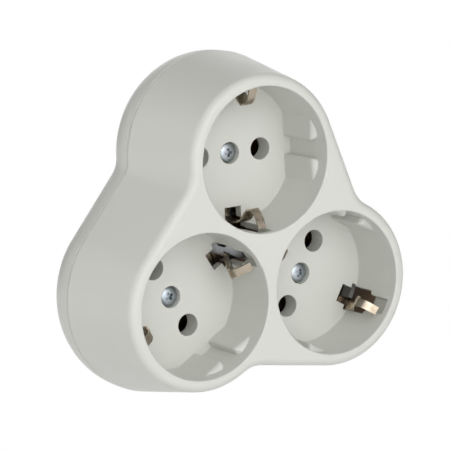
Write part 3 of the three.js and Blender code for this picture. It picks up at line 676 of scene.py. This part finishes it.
def plug_body():
    edge = [(PUCK_RADIUS, COVER_INSIDE)] + round_end(PUCK_RADIUS, PUCK_FACE, PUCK_LIP, PUCK_LIP)
    body = turned(edge, PUCK_FACETS)
    flat = PUCK_RADIUS - PUCK_FLAT_CUT
    flats = add(
        block(-flat, flat, -PUCK_RADIUS, PUCK_RADIUS, COVER_INSIDE, PUCK_FACE),
        block(-PUCK_RADIUS, PUCK_RADIUS, -PUCK_RIB / 2, PUCK_RIB / 2, COVER_INSIDE, PUCK_FACE),
    )
    return common(body, flats)


def rear_cover():
    """The cover with the hollow plug body, the rim inside the housing and the bosses."""
    rim_inset = WALL + wall_inset(SEAM_DEPTH - RIM_HEIGHT) + CLEARANCE
    hollow_radius = STRAP_REACH - STRAP_THICKNESS - CLEARANCE - PUCK_WALL
    pin_x = PIN_SPACING / 2
    bore = PLUG_PIN_RADIUS + CLEARANCE
    boss_foot = COVER_INSIDE + BACK_PLATE / 2
    boss_front = BAR_BACK + CLEARANCE
    shell = loft(cover_levels(0, COVER_FRONT, BACK_DEPTH, SEAM_CHAMFER))
    # The cover's inner faces take the painted shade
    cut(shell, inside(loft(cover_levels(WALL, COVER_FRONT - CUT_SPARE, COVER_INSIDE))))
    rim_inside = rim_inset + RIM_WALL
    rim_foot = COVER_FRONT + WALL
    add(shell, ring_between(rim_inset, rim_inside, COVER_FRONT - RIM_HEIGHT, rim_foot))
    add(shell, ring_between(COVER_INSET + WALL / 2, rim_inside, COVER_FRONT, rim_foot))
    add(shell, plug_body())
    cut(shell, rod(0, 0, hollow_radius, COVER_INSIDE - CUT_SPARE, PUCK_FACE - PUCK_WALL, PUCK_FACETS))
    for x in (-pin_x, pin_x):
        add(shell, rod(x, 0, bore + PIN_BOSS_WALL, boss_front, PUCK_FACE - CUT_SPARE))
    add(shell, on_every_socket(rod(0, 0, SHANK_HOLE_RADIUS + SCREW_BOSS_WALL, BOSS_FRONT, boss_foot)))
    for x in (-pin_x, pin_x):
        cut(shell, rod(x, 0, bore, boss_front - CUT_SPARE, PUCK_FACE + CUT_SPARE))
    bore_end = HEAD_TOP + HEAD_HEIGHT + SCREW_LENGTH + SCREW_BORE_SPARE
    cut(shell, on_every_socket(rod(0, 0, SHANK_HOLE_RADIUS, BOSS_FRONT - CUT_SPARE, bore_end)))
    half = STRAP_WIDTH / 2 + CLEARANCE
    floor = STRAP_REACH - STRAP_THICKNESS - CLEARANCE
    end = PUCK_FACE - STRAP_END_GAP + CLEARANCE
    channel = (STRAP_REACH + CLEARANCE, COVER_INSIDE - CUT_SPARE)
    opening = (PUCK_RADIUS + CUT_SPARE, BACK_DEPTH)
    for side in (1, -1):
        for reach, front in (channel, opening):
            groove = block(-half, half, floor, reach, front, end)
            cut(shell, moved(groove, Matrix.Diagonal((1, side, 1, 1))))
    # Painted shade on the flat faces at the seam
    return painted_shade_at(shell, COVER_FRONT)


# Metal pieces

def screw():
    profile = []
    for i in range(DOME_STEPS + 1):
        angle = math.pi / 2 * i / DOME_STEPS
        profile.append((
            max(HEAD_RADIUS * math.sin(angle), DOME_TOP_RADIUS),
            HEAD_TOP + HEAD_HEIGHT * DOME_SHARE * (1 - math.cos(angle)),
        ))
    under = HEAD_TOP + HEAD_HEIGHT
    end = under + SCREW_LENGTH
    profile += [(HEAD_RADIUS, under), (SHANK_RADIUS, under)]
    profile += [(SHANK_RADIUS, end - SHANK_RADIUS), (SHANK_TIP_RADIUS, end)]
    body = turned(profile, HOLE_FACETS)
    top_half = CROSS_LENGTH / 2 * CROSS_FLARE
    foot_half = top_half * CROSS_FOOT_SHARE
    above, below = -HEAD_TOP + CUT_SPARE, -HEAD_TOP - CROSS_DEPTH
    section = [(-top_half, above), (-foot_half, below), (foot_half, below), (top_half, above)]
    for turn in (0, math.pi / 2):
        blade = pulled_along_y(section, -CROSS_WIDTH / 2, CROSS_WIDTH / 2)
        cut(body, moved(blade, Matrix.Rotation(turn, 4, "Z")))
    return body


def spline(points, steps):
    """A uniform Catmull-Rom curve through points of two numbers."""
    ends = [2 * points[0] - points[1]] + points + [2 * points[-1] - points[-2]]
    curve = []
    for i in range(1, len(ends) - 2):
        a, b, c, d = ends[i - 1:i + 3]
        for step in range(steps):
            t = step / steps
            curve.append(0.5 * (
                2 * b + (c - a) * t + (2 * a - 5 * b + 4 * c - d) * t * t
                + (3 * b - a - 3 * c + d) * t ** 3
            ))
    return curve + [points[-1]]


def sheet_shape(path, thickness):
    """The closed side view of a bent strip."""
    left, right = [], []
    for i, point in enumerate(path):
        along = (path[min(i + 1, len(path) - 1)] - path[max(i - 1, 0)]).normalized()
        across = Vector((-along.y, along.x)) * thickness / 2
        left.append(point + across)
        right.append(point - across)
    return left + right[::-1]


def arm_path():
    """Middle line of a spring arm from its foot up to the crest and out to the tip."""
    base = CLIP_DEPTH + CLIP_THICKNESS / 2
    knots = [Vector(pair) for pair in (
        (ARM_FOOT, -base + CLIP_THICKNESS),
        (ARM_FOOT, -RECESS_DEPTH + 1),
        (ARM_FOOT - ARM_LEAN, -CREST_DEPTH - ARM_LEAN_DROP),
        (CREST_REACH + CREST_ENTRY[0], -CREST_DEPTH - CREST_ENTRY[1]),
        (CREST_REACH, -CREST_DEPTH),
        (CREST_REACH + CREST_EXIT[0], -CREST_DEPTH + CREST_EXIT[1]),
        ((CREST_REACH + TIP_REACH) / 2, -TIP_DEPTH - TIP_SAG),
        (TIP_REACH, -TIP_DEPTH),
    )]
    return [Vector((ARM_FOOT - CLIP_THICKNESS, -base))] + spline(knots, ARM_STEPS)


def earth_clip():
    arm = arm_path()
    other = [Vector((-point.x, point.y)) for point in arm][::-1]
    half = CLIP_WIDTH / 2
    back = CLIP_DEPTH + CLIP_THICKNESS
    body = pulled_along_x(sheet_shape(other + arm, CLIP_THICKNESS), -half, half)
    add(body, rod(0, 0, SHANK_HOLE_RADIUS + CLIP_PAD_RIM, CLIP_DEPTH, back))
    beyond = RECESS_RADIUS + CUT_SPARE
    start = TONGUE_SHIFT - half
    for turn in (0, math.pi):
        near = block(-half - CUT_SPARE, start, CREST_RISE, beyond, 0, CREST_DEPTH - TONGUE_SHIFT)
        far = block(start + TONGUE_WIDTH, half + CUT_SPARE, CREST_RISE, beyond, 0, CREST_DEPTH)
        for shoulder in (near, far):
            cut(body, moved(shoulder, Matrix.Rotation(turn, 4, "Z")))
    cut(body, rod(0, 0, SHANK_HOLE_RADIUS, CLIP_DEPTH - CUT_SPARE, back + CUT_SPARE))
    return body


def plug_pin(x):
    tip = PUCK_FACE + PLUG_PIN_LENGTH
    end = round_end(PLUG_PIN_RADIUS, tip, PLUG_PIN_RADIUS, PLUG_PIN_NOSE, PLUG_PIN_STEPS)
    profile = [(PLUG_PIN_RADIUS, BAR_BACK + CLEARANCE)]
    profile += [(max(radius, PLUG_PIN_TIP_RADIUS), depth) for radius, depth in end]
    return turned(profile, HOLE_FACETS, x)


# Pieces

def piece(form, name, material, slot, *nodes):
    """Stands a finished form in the frame in place of its solid."""
    form.name = name
    form.data.name = name
    moved(form, TO_ROW)
    if material is not plastic:
        form.data.materials.clear()
        form.data.materials.append(material)
    form.data.polygons.foreach_set("use_smooth", [True] * len(form.data.polygons))
    form.data.set_sharp_from_angle(angle=math.radians(SMOOTH_ANGLE))
    weighted = form.modifiers.new("even_normals", "WEIGHTED_NORMAL")
    weighted.mode = "FACE_AREA"
    weighted.keep_sharp = True
    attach(form, "root")
    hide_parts(*nodes)
    return form


piece(front_housing(), "front_housing_moulding", plastic, "housing_plastic", "front_housing")
piece(rear_cover(), "rear_cover_moulding", plastic, "housing_plastic", "rear_cover")
for index, socket in enumerate(SOCKETS):
    piece(
        on_socket(screw(), index), f"cross_recess_screw_{socket}", zinc, "zinc_screw",
        f"assembly_screw_{socket}",
    )
    clip = moved(earth_clip(), Matrix.Rotation(CLIP_TURNS[index], 4, "Z"))
    piece(
        on_socket(clip, index), f"earth_spring_{socket}", nickel, "nickel_contact",
        f"earth_clip_{socket}",
    )
for side, circuit in ((-1, "live"), (1, "neutral")):
    piece(
        plug_pin(side * PIN_SPACING / 2), f"{circuit}_round_pin", nickel, "nickel_contact",
        f"{circuit}_plug_pin",
    )

# The solids that stay visible take the metal that they are made of
EARTH_METALS = {"earth_strap": nickel, "earth_star_plate": steel, "earth_rivet": steel}
for name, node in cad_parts.items():
    if node.hide_render:
        continue
    material = EARTH_METALS.get(name, brass)
    for slot in node.material_slots:
        slot.material = material


# Floor, light and camera

def white_to_camera(color):
    """A pale surface that the camera and mirrors see as plain white."""
    material, nodes, links, bsdf = shader("pale_ground", color, 0.9)
    path = nodes.new("ShaderNodeLightPath")
    either = nodes.new("ShaderNodeMath")
    either.operation = "MAXIMUM"
    links.new(path.outputs["Is Camera Ray"], either.inputs[0])
    links.new(path.outputs["Is Glossy Ray"], either.inputs[1])
    glow = nodes.new("ShaderNodeEmission")
    blend = nodes.new("ShaderNodeMixShader")
    links.new(either.outputs["Value"], blend.inputs["Fac"])
    links.new(bsdf.outputs["BSDF"], blend.inputs[1])
    links.new(glow.outputs["Emission"], blend.inputs[2])
    links.new(blend.outputs["Shader"], nodes["Material Output"].inputs["Surface"])
    return material


FLOOR_DROP = 0.2
FLOOR_SIZE = 6.0
FLOOR_COLOR = (0.8, 0.8, 0.8)
WHITE = (1.0, 1.0, 1.0, 1)
STUDIO_STRENGTH = 0.2
LAMP_SIZE = 1.0
CENTRE = Vector((0.0, -0.037, 0.004))


def pale_floor(height):
    half = FLOOR_SIZE / 2
    corners = [(-half, -half, 0), (half, -half, 0), (half, half, 0), (-half, half, 0)]
    mesh = bpy.data.meshes.new("floor")
    mesh.from_pydata(corners, [], [(0, 1, 2, 3)])
    mesh.materials.append(white_to_camera(FLOOR_COLOR))
    ground = bpy.data.objects.new("floor", mesh)
    ground.location.z = height
    bpy.context.scene.collection.objects.link(ground)
    return ground


def studio_world():
    """Dim, even light from all around, seen as plain white by the camera."""
    world = bpy.data.worlds.new("studio")
    bpy.context.scene.world = world
    world.use_nodes = True
    nodes, links = world.node_tree.nodes, world.node_tree.links
    background = nodes["Background"]
    background.inputs["Color"].default_value = WHITE
    background.inputs["Strength"].default_value = STUDIO_STRENGTH
    shown = nodes.new("ShaderNodeBackground")
    shown.inputs["Color"].default_value = WHITE
    shown.inputs["Strength"].default_value = 1.0
    rays = nodes.new("ShaderNodeLightPath")
    choose = nodes.new("ShaderNodeMixShader")
    links.new(rays.outputs["Is Camera Ray"], choose.inputs["Fac"])
    links.new(background.outputs["Background"], choose.inputs[1])
    links.new(shown.outputs["Background"], choose.inputs[2])
    links.new(choose.outputs["Shader"], nodes["World Output"].inputs["Surface"])


def area_lamp(name, place, power):
    """A wide round lamp that stands at a place measured from the middle of the adapter."""
    data = bpy.data.lights.new(name, "AREA")
    data.shape = "DISK"
    data.size = LAMP_SIZE
    data.energy = power
    lamp = bpy.data.objects.new(name, data)
    lamp.location = CENTRE + Vector(place)
    lamp.rotation_euler = (CENTRE - lamp.location).to_track_quat("-Z", "Y").to_euler()
    bpy.context.scene.collection.objects.link(lamp)


floor = pale_floor(cad_box[0][2] - FLOOR_DROP)
studio_world()
area_lamp("key", (0.1, -0.95, 0.25), 2.6)
area_lamp("left_key", (-0.25, -0.93, 0.28), 4.3)
area_lamp("low_fill", (-0.55, -0.4, -0.2), 1.7)
area_lamp("top_fill", (0.1, -0.5, 0.85), 1.6)
area_lamp("back_rim", (-0.75, 0.55, 0.25), 2.4)
area_lamp("back_fill", (0.55, 0.85, 0.2), 3.0)

# The camera stands where the photo was taken from: fitted to the recess rims and pin holes
PHOTO_SIDE = 450
FOCAL_PIXELS = 2627.8
SENSOR = 36.0
CAMERA_PLACE = (-363.32, 132.45, 559.2)
CAMERA_TURN = Vector((0.166, 0.562, 0.103))


def photo_camera():
    data = bpy.data.cameras.new("photo_camera")
    data.sensor_width = SENSOR
    data.lens = FOCAL_PIXELS * SENSOR / PHOTO_SIDE
    camera = bpy.data.objects.new("photo_camera", data)
    view_turn = Matrix.Rotation(CAMERA_TURN.length, 3, CAMERA_TURN.normalized())
    upright = Matrix.Rotation(math.pi / 2, 3, "X")
    place = Matrix.Translation(TO_ROW @ Vector(CAMERA_PLACE))
    camera.matrix_world = place @ (upright @ view_turn.transposed()).to_4x4()
    bpy.context.scene.collection.objects.link(camera)
    return camera


bpy.context.scene.camera = photo_camera()
bpy.context.scene.view_settings.view_transform = "Standard"
